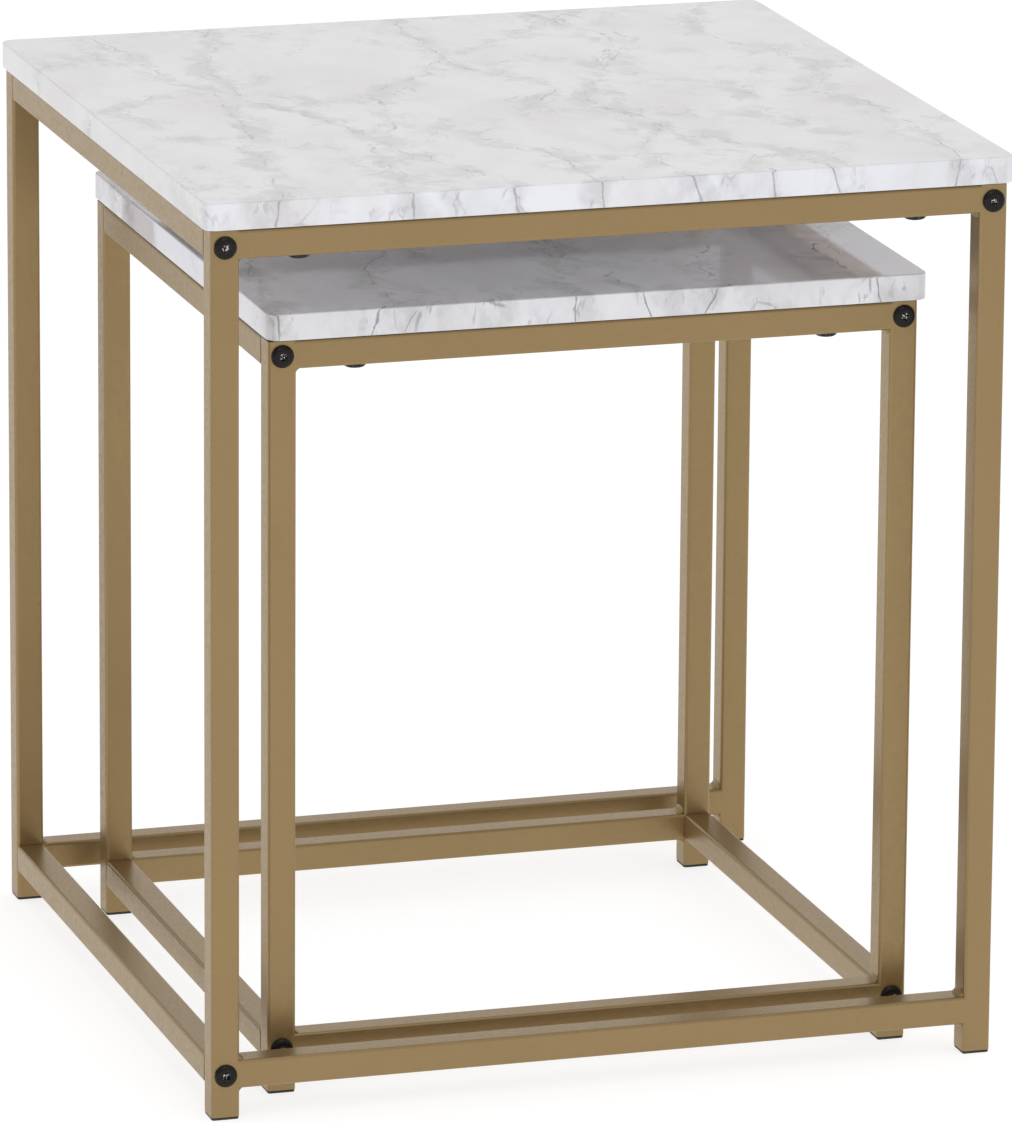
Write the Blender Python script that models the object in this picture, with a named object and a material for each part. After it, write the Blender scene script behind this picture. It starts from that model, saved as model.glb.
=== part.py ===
"""Nest of two side tables: a small table that slides out sideways from under a large one.

Each table is a board top on a knock-down frame of square steel tube.  Two welded end
frames, front and back, are joined by loose side rails.  Bolts go through the legs into the
threaded end plates of the rails, and four bolts from below hold the board by its inserts.
The large table has no side rail at the bottom right, and the small one leaves there.

Metres, +Z up.  The origin is on the floor under the middle of the large table, +X is the
side that the small table slides out of, and the welded front frame faces -Y.
"""
import math

import bmesh
import bpy

MM = 0.001
GAP = 0.3 * MM             # air left between pieces that touch

# Square tube
TUBE = 16.0 * MM           # outside width
WALL = 1.0 * MM
TUBE_RADIUS = 1.8 * MM     # outside corner radius
CORNER_STEPS = 3           # segments in each rounded corner of the tube
WELD_LEG = 3.4 * MM        # fillet of weld in the frame's inner corners
WELD_SINK = 0.4 * MM       # how deep the weld beads fuse into their neighbours
RAIL_SINK = 2.0 * MM       # the rails' faces run on past the legs' round corners, ground flush
RAIL_CLEARANCE = 17.5 * MM  # floor to the underside of the bottom rails
DRAIN_DIAMETER = 4.0 * MM  # paint drain hole under each bottom rail of the end frames
DRAIN_INSET = 30.0 * MM    # from the leg's inner face

# Side rails
END_PLATE = 3.0 * MM       # threaded plate in each end

# Bolts, all M6 with a low domed head and a hexagon socket
BOLT_DIAMETER = 6.0 * MM
HEAD_DIAMETER = 12.8 * MM
HEAD_HEIGHT = 2.8 * MM
HEAD_RIM = 0.9 * MM        # straight side of the head below its dome
CROWN = 0.6                # share of the head's diameter that is flat on top
SOCKET_ACROSS_FLATS = 4.0 * MM
SOCKET_DEPTH = 1.9 * MM
FRAME_BOLT_LENGTH = 25.0 * MM
TOP_BOLT_LENGTH = 26.0 * MM
TOP_BOLT_INSET = 51.0 * MM  # from the frame's side face to the bolts that hold the board
BOLT_SIDES = 16
HOLE_SIDES = 12            # every bolt hole, threaded ones too

# Threaded inserts in the boards
INSERT_DIAMETER = 9.0 * MM
INSERT_LENGTH = 11.0 * MM
INSERT_FLANGE_DIAMETER = 12.0 * MM
INSERT_FLANGE = 1.0 * MM
INSERT_SIDES = 12

# Boards
BOARD_THICKNESS = 15.0 * MM
BOARD_RADIUS = 7.0 * MM    # upright corners
BOARD_CORNER_STEPS = 6
BOARD_EDGE = 0.9 * MM      # rounding of the top and bottom edges

# Foot plugs
FOOT_FLANGE = 1.2 * MM
FOOT_INSET = 0.3 * MM      # the flange is this much smaller than the tube on each side
FOOT_BEVEL = 0.5 * MM
FOOT_STEM = 12.2 * MM      # width of the hollow stem
FOOT_STEM_WALL = 1.6 * MM
FOOT_STEM_HEIGHT = 12.0 * MM
FOOT_RIB = 1.0 * MM        # thickness of the two grip ribs round the stem
FOOT_RIB_HEIGHTS = (4.0 * MM, 9.0 * MM)

# The two tables: frame size, height of the frame's top, how far the board stands out past the
# frame at the left, right, front and back, and how far the top side rails lie below the frame's top
LARGE_WIDTH = 453.0 * MM
LARGE_DEPTH = 448.0 * MM
LARGE_HEIGHT = 500.0 * MM
LARGE_OVERHANGS = (3.0 * MM, 4.5 * MM, 1.0 * MM, 1.0 * MM)
LARGE_RAIL_DROP = 1.2 * MM
SMALL_WIDTH = 373.0 * MM
SMALL_DEPTH = 366.0 * MM
SMALL_HEIGHT = 428.0 * MM
SMALL_OVERHANGS = (0.0, 6.0 * MM, 1.0 * MM, 9.0 * MM)
SMALL_RAIL_DROP = 0.4 * MM
SMALL_INSET_X = 42.5 * MM  # from the large frame's left face to the small one's
SMALL_INSET_Y = 37.5 * MM  # from the large frame's front face to the small one's


class Table:
    """Driving sizes of one table, and the places that follow from them."""

    def __init__(self, name, left, front, width, depth, height, overhangs, rail_drop, side_rails):
        self.name = name
        self.left, self.right = left, left + width
        self.front, self.back = front, front + depth
        self.board_left, self.board_right = self.left - overhangs[0], self.right + overhangs[1]
        self.board_front, self.board_back = self.front - overhangs[2], self.back + overhangs[3]
        self.board_low = height
        self.rail_drop = rail_drop
        self.frame_top = height - GAP
        self.leg_low = FOOT_FLANGE + GAP
        self.side_rails = side_rails

    def tube_x(self, side):
        """Middle of the leg, or of the side rail, on the left or the right."""
        if side == "left":
            return self.left + TUBE / 2
        return self.right - TUBE / 2

    def tube_y(self, end):
        """Middle of the front or the back frame."""
        if end == "front":
            return self.front + TUBE / 2
        return self.back - TUBE / 2

    def rail_z(self, level):
        """Middle of the end frames' own rails at the top or the bottom."""
        if level == "top":
            return self.frame_top - TUBE / 2
        return RAIL_CLEARANCE + TUBE / 2

    def side_rail_z(self, level):
        """Middle of the side rails: at the top the board clears them, as it rests on the frames."""
        if level == "top":
            return self.rail_z(level) - self.rail_drop
        return self.rail_z(level)

    def top_bolt_x(self, side):
        if side == "left":
            return self.left + TOP_BOLT_INSET
        return self.right - TOP_BOLT_INSET


# The large board is centred on the origin, and its frame stands under it
LARGE = Table("large", (LARGE_OVERHANGS[0] - LARGE_OVERHANGS[1] - LARGE_WIDTH) / 2, -LARGE_DEPTH / 2,
              LARGE_WIDTH, LARGE_DEPTH, LARGE_HEIGHT, LARGE_OVERHANGS, LARGE_RAIL_DROP,
              [("top", "left"), ("top", "right"), ("bottom", "left")])
SMALL = Table("small", LARGE.left + SMALL_INSET_X, LARGE.front + SMALL_INSET_Y,
              SMALL_WIDTH, SMALL_DEPTH, SMALL_HEIGHT, SMALL_OVERHANGS, SMALL_RAIL_DROP,
              [("top", "left"), ("top", "right"), ("bottom", "left"), ("bottom", "right")])

SIDES = ("left", "right")
ENDS = ("front", "back")
LEVELS = ("top", "bottom")
AXES = {"x": 0, "y": 1, "z": 2}


# ---------------------------------------------------------------- scene and materials

def clear_scene():
    for obj in list(bpy.data.objects):
        bpy.data.objects.remove(obj, do_unlink=True)


def material(name, colour, roughness, metallic):
    mat = bpy.data.materials.new(name)
    mat.use_nodes = True
    shader = mat.node_tree.nodes["Principled BSDF"]
    shader.inputs["Base Color"].default_value = (*colour, 1.0)
    shader.inputs["Roughness"].default_value = roughness
    shader.inputs["Metallic"].default_value = metallic
    mat.diffuse_color = (*colour, 1.0)
    return mat


# ---------------------------------------------------------------- outlines and solids

def rounded_rectangle(width, depth, radius, steps):
    """Points of a rectangle centred on the origin, anticlockwise, with round corners."""
    corners = [(1, 1, 0), (-1, 1, 90), (-1, -1, 180), (1, -1, 270)]
    points = []
    for sign_u, sign_v, start in corners:
        centre_u = sign_u * (width / 2 - radius)
        centre_v = sign_v * (depth / 2 - radius)
        for step in range(steps + 1):
            angle = math.radians(start + 90 * step / steps)
            points.append((centre_u + radius * math.cos(angle), centre_v + radius * math.sin(angle)))
    return points


def rectangle(width, depth):
    return [(width / 2, depth / 2), (-width / 2, depth / 2),
            (-width / 2, -depth / 2), (width / 2, -depth / 2)]


def circle(diameter, sides):
    """Points of a regular outline whose flats face the axes."""
    angles = [2 * math.pi * (step + 0.5) / sides for step in range(sides)]
    return [(diameter / 2 * math.cos(angle), diameter / 2 * math.sin(angle)) for angle in angles]


def hexagon(across_flats):
    return circle(across_flats / math.cos(math.pi / 6), 6)


def add_layers(bm, layers, axis, centre):
    """Add one closed solid that passes through outlines, given as (place, outline) pairs.

    The outlines lie square to the axis at their places along it, and have as many points as
    each other.  The centre is where their own origin lies in the other two directions.
    """
    along = AXES[axis]
    across = [(along + 1) % 3, (along + 2) % 3]
    rings = []
    for place, outline in layers:
        ring = []
        for point in outline:
            position = [0.0, 0.0, 0.0]
            position[along] = place
            position[across[0]] = centre[across[0]] + point[0]
            position[across[1]] = centre[across[1]] + point[1]
            ring.append(bm.verts.new(position))
        rings.append(ring)
    count = len(rings[0])
    for lower, upper in zip(rings, rings[1:]):
        for i in range(count):
            j = (i + 1) % count
            bm.faces.new((lower[i], lower[j], upper[j], upper[i]))
    bm.faces.new(list(reversed(rings[0])))
    bm.faces.new(rings[-1])


def add_bar(bm, outline, axis, low, high, centre):
    add_layers(bm, [(low, outline), (high, outline)], axis, centre)


def mesh_object(name, bm):
    bmesh.ops.recalc_face_normals(bm, faces=bm.faces)
    mesh = bpy.data.meshes.new(name)
    bm.to_mesh(mesh)
    bm.free()
    obj = bpy.data.objects.new(name, mesh)
    bpy.context.collection.objects.link(obj)
    return obj


def combine(obj, operation, bm):
    """Join the solids in bm to the object, or cut them out of it, and keep the result."""
    tool = mesh_object(obj.name + "_tool", bm)
    modifier = obj.modifiers.new(operation, "BOOLEAN")
    modifier.solver = "EXACT"
    modifier.operation = operation
    modifier.object = tool
    bpy.context.view_layer.update()
    evaluated = obj.evaluated_get(bpy.context.evaluated_depsgraph_get())
    result = bpy.data.meshes.new_from_object(evaluated)
    obj.modifiers.clear()
    spent = obj.data
    obj.data = result
    bpy.data.meshes.remove(spent)
    bpy.data.objects.remove(tool, do_unlink=True)


def finish_mesh(obj, mat, sharp_degrees=40.0):
    """Turn a shaped object into the mesh that its copies share."""
    mesh = obj.data
    mesh.materials.clear()
    mesh.materials.append(mat)
    mesh.shade_smooth()
    mesh.set_sharp_from_angle(angle=math.radians(sharp_degrees))
    bpy.data.objects.remove(obj, do_unlink=True)
    return mesh


def place(name, mesh, location=(0.0, 0.0, 0.0), rotation=(0.0, 0.0, 0.0), parent=None):
    obj = bpy.data.objects.new(name, mesh)
    bpy.context.collection.objects.link(obj)
    obj.location = location
    obj.rotation_euler = rotation
    obj.parent = parent
    return obj


# ---------------------------------------------------------------- pieces of a table

TUBE_OUTSIDE = rounded_rectangle(TUBE, TUBE, TUBE_RADIUS, CORNER_STEPS)
TUBE_INSIDE = rounded_rectangle(TUBE - 2 * WALL, TUBE - 2 * WALL, TUBE_RADIUS - WALL, 1)
BOLT_HOLE = circle(BOLT_DIAMETER + 2 * GAP, HOLE_SIDES)


def weld_outline(corner_x, corner_z, sign_x, sign_z):
    """Triangle of weld in an inner corner; the signs point out of the corner into the air."""
    reach, sink = WELD_LEG, WELD_SINK
    return [(corner_x - sign_x * sink, corner_z - sign_z * sink),
            (corner_x + sign_x * reach, corner_z - sign_z * sink),
            (corner_x + sign_x * reach * 0.35, corner_z + sign_z * reach * 0.35),
            (corner_x - sign_x * sink, corner_z + sign_z * reach)]


def end_frame_mesh(table, mat):
    """Welded frame in the plane y = 0: two legs, a top rail and a bottom rail, all hollow."""
    inner_left, inner_right = table.left + TUBE, table.right - TUBE
    on_floor = {side: (table.tube_x(side), 0.0, 0.0) for side in SIDES}

    bm = bmesh.new()
    for side in SIDES:
        add_bar(bm, TUBE_OUTSIDE, "z", table.leg_low, table.frame_top, on_floor[side])
    frame = mesh_object(table.name + "_end_frame", bm)

    bm = bmesh.new()
    for level in LEVELS:
        add_bar(bm, TUBE_OUTSIDE, "x", inner_left - RAIL_SINK, inner_right + RAIL_SINK,
                (0.0, 0.0, table.rail_z(level)))
    combine(frame, "UNION", bm)

    bm = bmesh.new()
    flat = TUBE / 2 - TUBE_RADIUS
    inner_edges = [(table.rail_z("top") - TUBE / 2, -1), (table.rail_z("bottom") + TUBE / 2, 1),
                   (table.rail_z("bottom") - TUBE / 2, -1)]
    for corner_x, sign_x in ((inner_left, 1), (inner_right, -1)):
        for corner_z, sign_z in inner_edges:
            # Seen along Y the first direction across is Z, so each point is turned round.
            outline = [(z, x) for x, z in weld_outline(corner_x, corner_z, sign_x, sign_z)]
            add_bar(bm, outline, "y", -flat, flat, (0.0, 0.0, 0.0))
    combine(frame, "UNION", bm)

    bm = bmesh.new()
    for side in SIDES:
        add_bar(bm, TUBE_INSIDE, "z", table.leg_low - TUBE, table.frame_top + TUBE, on_floor[side])
    for level in LEVELS:
        add_bar(bm, TUBE_INSIDE, "x", inner_left, inner_right, (0.0, 0.0, table.rail_z(level)))
    combine(frame, "DIFFERENCE", bm)

    bm = bmesh.new()
    for level, side in table.side_rails:
        add_bar(bm, BOLT_HOLE, "y", -TUBE, TUBE, (table.tube_x(side), 0.0, table.side_rail_z(level)))
    for side in SIDES:
        add_bar(bm, BOLT_HOLE, "z", table.frame_top - 2 * TUBE, table.frame_top + TUBE,
                (table.top_bolt_x(side), 0.0, 0.0))
    add_bar(bm, circle(DRAIN_DIAMETER, HOLE_SIDES), "z", RAIL_CLEARANCE - TUBE / 2,
            RAIL_CLEARANCE + TUBE / 2, (inner_left + DRAIN_INSET, 0.0, 0.0))
    combine(frame, "DIFFERENCE", bm)
    return finish_mesh(frame, mat)


def side_rail_mesh(table, mat):
    """Hollow rail along Y between the end frames, with a threaded plate in each end."""
    low = table.front + TUBE + GAP
    high = table.back - TUBE - GAP
    middle = (0.0, 0.0, 0.0)

    bm = bmesh.new()
    add_bar(bm, TUBE_OUTSIDE, "y", low, high, middle)
    rail = mesh_object(table.name + "_side_rail", bm)

    bm = bmesh.new()
    add_bar(bm, TUBE_INSIDE, "y", low + END_PLATE, high - END_PLATE, middle)
    combine(rail, "DIFFERENCE", bm)

    bm = bmesh.new()
    add_bar(bm, BOLT_HOLE, "y", low - TUBE, low + TUBE, middle)
    add_bar(bm, BOLT_HOLE, "y", high - TUBE, high + TUBE, middle)
    combine(rail, "DIFFERENCE", bm)
    return finish_mesh(rail, mat)


def board_mesh(table, mat):
    """Board with rounded upright corners and a blind stepped hole for each insert."""
    width = table.board_right - table.board_left
    depth = table.board_back - table.board_front
    centre = ((table.board_left + table.board_right) / 2,
              (table.board_front + table.board_back) / 2, 0.0)
    low, high = table.board_low, table.board_low + BOARD_THICKNESS

    layers = []
    for angle in (0, 45, 90):
        inset = BOARD_EDGE * (1 - math.sin(math.radians(angle)))
        rise = BOARD_EDGE * (1 - math.cos(math.radians(angle)))
        outline = rounded_rectangle(width - 2 * inset, depth - 2 * inset,
                                    BOARD_RADIUS - inset, BOARD_CORNER_STEPS)
        layers.append((rise, outline))
    lower = [(low + rise, outline) for rise, outline in layers]
    upper = [(high - rise, outline) for rise, outline in reversed(layers)]
    bm = bmesh.new()
    add_layers(bm, lower + upper, "z", centre)
    board = mesh_object(table.name + "_board", bm)

    hole = circle(INSERT_DIAMETER + 2 * GAP, INSERT_SIDES)
    recess = circle(INSERT_FLANGE_DIAMETER + 2 * GAP, INSERT_SIDES)
    recess_top = low + INSERT_FLANGE + GAP
    bm = bmesh.new()
    for side in SIDES:
        for end in ENDS:
            add_layers(bm, [(low - TUBE, recess), (recess_top, recess),
                            (recess_top, hole), (low + INSERT_LENGTH + GAP, hole)],
                       "z", (table.top_bolt_x(side), table.tube_y(end), 0.0))
    combine(board, "DIFFERENCE", bm)
    return finish_mesh(board, mat)


def bolt_mesh(name, length, mat):
    """Bolt along Z with the underside of its head at the origin and its shank downwards."""
    radius = HEAD_DIAMETER / 2
    dome = HEAD_HEIGHT - HEAD_RIM
    dome_radius = (radius ** 2 + dome ** 2) / (2 * dome)
    shank = circle(BOLT_DIAMETER, BOLT_SIDES)
    rim = circle(HEAD_DIAMETER, BOLT_SIDES)
    crown_height = HEAD_HEIGHT - dome_radius + math.sqrt(dome_radius ** 2 - (CROWN * radius) ** 2)
    crown = circle(HEAD_DIAMETER * CROWN, BOLT_SIDES)
    layers = [(-length, shank), (0.0, shank), (0.0, rim), (HEAD_RIM, rim), (crown_height, crown)]
    bm = bmesh.new()
    add_layers(bm, layers, "z", (0.0, 0.0, 0.0))
    bolt = mesh_object(name, bm)

    bm = bmesh.new()
    add_bar(bm, hexagon(SOCKET_ACROSS_FLATS), "z", HEAD_HEIGHT - SOCKET_DEPTH,
            HEAD_HEIGHT + SOCKET_DEPTH, (0.0, 0.0, 0.0))
    combine(bolt, "DIFFERENCE", bm)
    return finish_mesh(bolt, mat)


def insert_mesh(mat):
    """Flanged sleeve along Z with its flange's face at the origin, to be let into a board."""
    body = circle(INSERT_DIAMETER, INSERT_SIDES)
    flange = circle(INSERT_FLANGE_DIAMETER, INSERT_SIDES)
    bm = bmesh.new()
    add_layers(bm, [(0.0, flange), (INSERT_FLANGE, flange), (INSERT_FLANGE, body),
                    (INSERT_LENGTH, body)], "z", (0.0, 0.0, 0.0))
    insert = mesh_object("insert", bm)
    bm = bmesh.new()
    add_bar(bm, BOLT_HOLE, "z", -TUBE, TUBE, (0.0, 0.0, 0.0))
    combine(insert, "DIFFERENCE", bm)
    return finish_mesh(insert, mat)


def foot_mesh(mat):
    """Plug along Z with its sole at the origin: a flange, and a hollow ribbed stem."""
    width = TUBE - 2 * FOOT_INSET
    radius = TUBE_RADIUS - FOOT_INSET
    middle = (0.0, 0.0, 0.0)
    sole = rounded_rectangle(width - 2 * FOOT_BEVEL, width - 2 * FOOT_BEVEL,
                             radius - FOOT_BEVEL, CORNER_STEPS)
    flange = rounded_rectangle(width, width, radius, CORNER_STEPS)
    stem_top = FOOT_FLANGE + FOOT_STEM_HEIGHT
    bm = bmesh.new()
    add_layers(bm, [(0.0, sole), (FOOT_BEVEL, flange), (FOOT_FLANGE, flange)], "z", middle)
    foot = mesh_object("foot", bm)

    bm = bmesh.new()
    add_bar(bm, rectangle(FOOT_STEM, FOOT_STEM), "z", FOOT_FLANGE / 2, stem_top, middle)
    combine(foot, "UNION", bm)

    rib_width = TUBE - 2 * WALL - 2 * GAP
    rib = rounded_rectangle(rib_width, rib_width, TUBE_RADIUS - WALL, 1)
    bm = bmesh.new()
    for height in FOOT_RIB_HEIGHTS:
        add_bar(bm, rib, "z", FOOT_FLANGE + height, FOOT_FLANGE + height + FOOT_RIB, middle)
    combine(foot, "UNION", bm)

    hollow = FOOT_STEM - 2 * FOOT_STEM_WALL
    bm = bmesh.new()
    add_bar(bm, rectangle(hollow, hollow), "z", FOOT_FLANGE, stem_top + TUBE, middle)
    combine(foot, "DIFFERENCE", bm)
    return finish_mesh(foot, mat)


# ---------------------------------------------------------------- assembly

def place_frame_bolts(table, mesh, parent):
    """Bolts through the legs, from the front and from the back, into every side rail."""
    for level, side in table.side_rails:
        x, z = table.tube_x(side), table.side_rail_z(level)
        for end in ENDS:
            name = f"{table.name}_frame_bolt_{end}_{level}_{side}"
            if end == "front":
                place(name, mesh, (x, table.front - GAP, z), (math.radians(90), 0, 0), parent)
            else:
                place(name, mesh, (x, table.back + GAP, z), (math.radians(-90), 0, 0), parent)


def place_top_fixings(table, bolt, insert, parent):
    """A bolt up through each end frame's top rail, and the insert in the board above it."""
    under_rail = table.frame_top - TUBE - GAP
    for end in ENDS:
        for side in SIDES:
            x, y = table.top_bolt_x(side), table.tube_y(end)
            corner = f"{end}_{side}"
            place(f"{table.name}_top_bolt_{corner}", bolt, (x, y, under_rail),
                  (math.radians(180), 0, 0), parent)
            place(f"{table.name}_top_insert_{corner}", insert, (x, y, table.board_low), parent=parent)


def build_table(table, materials, shared):
    parent = bpy.data.objects.new(table.name + "_table", None)
    bpy.context.collection.objects.link(parent)

    place(table.name + "_top", board_mesh(table, materials["board"]), parent=parent)
    frame = end_frame_mesh(table, materials["paint"])
    for end in ENDS:
        place(f"{table.name}_{end}_frame", frame, (0, table.tube_y(end), 0), parent=parent)
    rail = side_rail_mesh(table, materials["paint"])
    for level, side in table.side_rails:
        place(f"{table.name}_side_rail_{level}_{side}", rail,
              (table.tube_x(side), 0, table.side_rail_z(level)), parent=parent)
    place_frame_bolts(table, shared["frame_bolt"], parent)
    place_top_fixings(table, shared["top_bolt"], shared["insert"], parent)
    for end in ENDS:
        for side in SIDES:
            place(f"{table.name}_foot_{end}_{side}", shared["foot"],
                  (table.tube_x(side), table.tube_y(end), 0), parent=parent)


def main():
    clear_scene()
    materials = {
        "board": material("marble_effect_board", (0.78, 0.77, 0.78), 0.18, 0.0),
        "paint": material("gold_paint", (0.33, 0.235, 0.115), 0.45, 0.35),
        "bolt": material("black_bolt", (0.02, 0.02, 0.02), 0.38, 0.6),
        "insert": material("zinc_insert", (0.6, 0.6, 0.58), 0.35, 1.0),
        "foot": material("black_plastic", (0.025, 0.025, 0.025), 0.55, 0.0),
    }
    shared = {
        "frame_bolt": bolt_mesh("frame_bolt", FRAME_BOLT_LENGTH, materials["bolt"]),
        "top_bolt": bolt_mesh("top_bolt", TOP_BOLT_LENGTH, materials["bolt"]),
        "insert": insert_mesh(materials["insert"]),
        "foot": foot_mesh(materials["foot"]),
    }
    for table in (LARGE, SMALL):
        build_table(table, materials, shared)


main()
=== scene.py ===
"""Looks of the nest of two side tables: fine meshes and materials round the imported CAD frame."""
import math

import bmesh
import bpy
from mathutils import Matrix, Vector


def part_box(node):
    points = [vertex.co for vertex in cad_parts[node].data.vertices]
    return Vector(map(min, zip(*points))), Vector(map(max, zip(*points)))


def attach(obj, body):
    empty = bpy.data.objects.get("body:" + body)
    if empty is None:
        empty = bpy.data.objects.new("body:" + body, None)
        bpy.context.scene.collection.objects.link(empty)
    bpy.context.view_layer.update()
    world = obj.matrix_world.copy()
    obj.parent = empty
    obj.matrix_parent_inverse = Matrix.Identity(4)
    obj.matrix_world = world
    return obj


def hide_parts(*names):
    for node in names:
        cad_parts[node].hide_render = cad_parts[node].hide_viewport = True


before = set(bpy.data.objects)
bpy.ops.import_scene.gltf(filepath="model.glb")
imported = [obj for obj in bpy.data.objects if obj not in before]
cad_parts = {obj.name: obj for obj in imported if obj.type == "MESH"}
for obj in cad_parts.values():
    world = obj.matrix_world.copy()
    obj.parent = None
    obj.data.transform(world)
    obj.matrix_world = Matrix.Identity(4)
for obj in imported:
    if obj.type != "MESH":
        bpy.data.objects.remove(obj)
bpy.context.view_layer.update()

MM = 0.001
ENDS = ("front", "back")
AXES = {"x": 0, "y": 1, "z": 2}

# Tubes and their holes, sized as in the CAD but rounder, and with softened rims
TUBE_RADIUS = 1.8 * MM
TUBE_STEPS = 7
WALL = 1.0 * MM
RAIL_SINK = 2.0 * MM       # rails run on past the round corners of the legs
LEG_ROUND = 0.25 * MM      # softened rim of a leg's ends
RAIL_ROUND = 0.45 * MM     # softened rim of a side rail's ends
RAIL_PLATE = 3.0 * MM      # thickness of the threaded plates in those ends
BOLT_HOLE = 6.6 * MM
DRAIN_HOLE = 4.0 * MM
DRAIN_INSET = 30.0 * MM    # from the left leg's inner face to the drain hole
DRAIN_REACH = 5.0 * MM     # how far the drain's drill runs to both sides of the rail's underside
HOLE_STEPS = 32

# Weld beads in the inner corners of the end frames
WELD_LEG = 3.5 * MM
WELD_SINK = 0.4 * MM       # how far a bead runs into its tubes
WELD_HOLLOW = 0.42         # how far its face is drawn in, as a share of the leg
WELD_TAPER = 0.25          # the smaller, the blunter its ends
WELD_STEPS = 7
WELD_RIPPLES = 9
WELD_RIPPLE_DEPTH = 0.10 * MM
WELD_ROWS = 6 * WELD_RIPPLES

# Board tops, and their holes for the inserts
BOARD_RADIUS = 7.0 * MM
BOARD_CORNER_STEPS = 20
BOARD_EDGE = 0.9 * MM       # rounding of the upper edges
BOARD_LOWER_EDGE = 0.45 * MM
BOARD_EDGE_STEPS = 6
INSERT_ROOM = 0.6 * MM      # an insert's hole is this much wider than the insert
INSERT_FLANGE_ROOM = 0.2 * MM  # and round the flange wider by this much more
INSERT_STEP = 3.0 * MM      # the flange is this much wider than the body
INSERT_SHOULDER = 1.3 * MM  # depth of the wide part of the hole
INSERT_END_ROOM = 0.3 * MM
INSERT_CUT = 5.0 * MM       # the hole's cutter starts this far below the board

# M6 bolts with a domed head and a hexagon socket
SHANK_RADIUS = 3.0 * MM
SHANK_CHAMFER = 0.7 * MM
NECK = 0.35 * MM            # fillet under the head
HEAD_RADIUS = 6.4 * MM
HEAD_RIM = 0.75 * MM        # height of the upright rim
HEAD_HEIGHT = 2.8 * MM
HEAD_FLAT = 3.5 * MM        # radius of the flat round the socket
HEAD_STEPS = 8
SOCKET_WIDTH = 4.0 * MM     # across the flats
SOCKET_DEPTH = 1.9 * MM
SOCKET_LEAD = 0.45 * MM     # countersink at the mouth
BOLT_STEPS = 56

# Foot plugs, with the stem's sections as (lower end, upper end, width)
FOOT_EDGE = 0.45 * MM
FOOT_RADIUS = 1.5 * MM
FOOT_FLANGE = 1.2 * MM
STEM_RADIUS = 0.8 * MM
STEM_WIDTH = 12.2 * MM
RIB_WIDTH = 13.4 * MM
STEM_BORE = 9.0 * MM
STEM_CUT = 20.0 * MM        # height at which the bore's cutter ends, past the stem's top
FOOT_STEM = ((FOOT_FLANGE, 5.2 * MM, STEM_WIDTH), (5.2 * MM, 6.2 * MM, RIB_WIDTH),
             (6.2 * MM, 10.2 * MM, STEM_WIDTH), (10.2 * MM, 11.2 * MM, RIB_WIDTH),
             (11.2 * MM, 13.2 * MM, STEM_WIDTH))

# Camera, from the front left and above, with a long lens
CAMERA_AZIMUTH = -17.224
CAMERA_ELEVATION = 14.872
CAMERA_ROLL = 0.418
CAMERA_DISTANCE = 5.3124
CAMERA_LENS = 298.68
CAMERA_SENSOR = 36.0
CAMERA_TARGET = Vector((0.00695, -0.0057, 0.2450))

SKY_STRENGTH = 0.63
BACKDROP_STRENGTH = 0.52   # added low down behind the tables
SIDE_STRENGTH = 0.10       # added on the right, and taken away on the left
FLOOR_GLOW = 0.75
FLOOR_GREY = 0.40
FLOOR_REACH = 40.0
SOFT_BOXES = (("overhead", (0.0, -0.3, 2.3), 2.0, 4.2),          # name, place, diameter, power
              ("overhead_front", (-0.2, -1.6, 2.1), 1.4, 5.2))


# ---------------------------------------------------------------- places read from the frame

class Span:
    """A CAD node's box, with its middle and its size."""

    def __init__(self, node):
        self.low, self.high = (Vector(corner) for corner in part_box(node))
        self.middle = (self.low + self.high) / 2
        self.size = self.high - self.low


def nodes_with(*words):
    return [name for name in sorted(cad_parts) if all(word in name for word in words)]


def table_of(node):
    return node.split("_")[0]


# ---------------------------------------------------------------- outlines and solids

def rounded_rectangle(width, depth, radius, steps):
    """Points of a rectangle centred on the origin, anticlockwise, with round corners."""
    points = []
    for sign_u, sign_v, start in ((1, 1, 0), (-1, 1, 90), (-1, -1, 180), (1, -1, 270)):
        for step in range(steps + 1):
            angle = math.radians(start + 90 * step / steps)
            points.append((sign_u * (width / 2 - radius) + radius * math.cos(angle),
                           sign_v * (depth / 2 - radius) + radius * math.sin(angle)))
    return points


def circle(diameter, steps):
    angles = [2 * math.pi * (step + 0.5) / steps for step in range(steps)]
    return [(diameter / 2 * math.cos(angle), diameter / 2 * math.sin(angle)) for angle in angles]


def add_layers(bm, layers, axis, centre):
    """Add one closed solid that passes through outlines, given as (place, outline) pairs."""
    along = AXES[axis]
    across = [(along + 1) % 3, (along + 2) % 3]
    rings = []
    for place, outline in layers:
        ring = []
        for point in outline:
            position = [0.0, 0.0, 0.0]
            position[along] = place
            position[across[0]] = centre[across[0]] + point[0]
            position[across[1]] = centre[across[1]] + point[1]
            ring.append(bm.verts.new(position))
        rings.append(ring)
    count = len(rings[0])
    for lower, upper in zip(rings, rings[1:]):
        for i in range(count):
            j = (i + 1) % count
            bm.faces.new((lower[i], lower[j], upper[j], upper[i]))
    bm.faces.new(list(reversed(rings[0])))
    bm.faces.new(rings[-1])


def add_bar(bm, outline, axis, low, high, centre):
    add_layers(bm, [(low, outline), (high, outline)], axis, centre)


def soft_rim(radius, steps):
    """(inset, advance) pairs round a quarter turn, from the end face to the full outline."""
    pairs = []
    for step in range(steps + 1):
        angle = math.radians(90 * step / steps)
        pairs.append((radius * (1 - math.sin(angle)), radius * (1 - math.cos(angle))))
    return pairs


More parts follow.
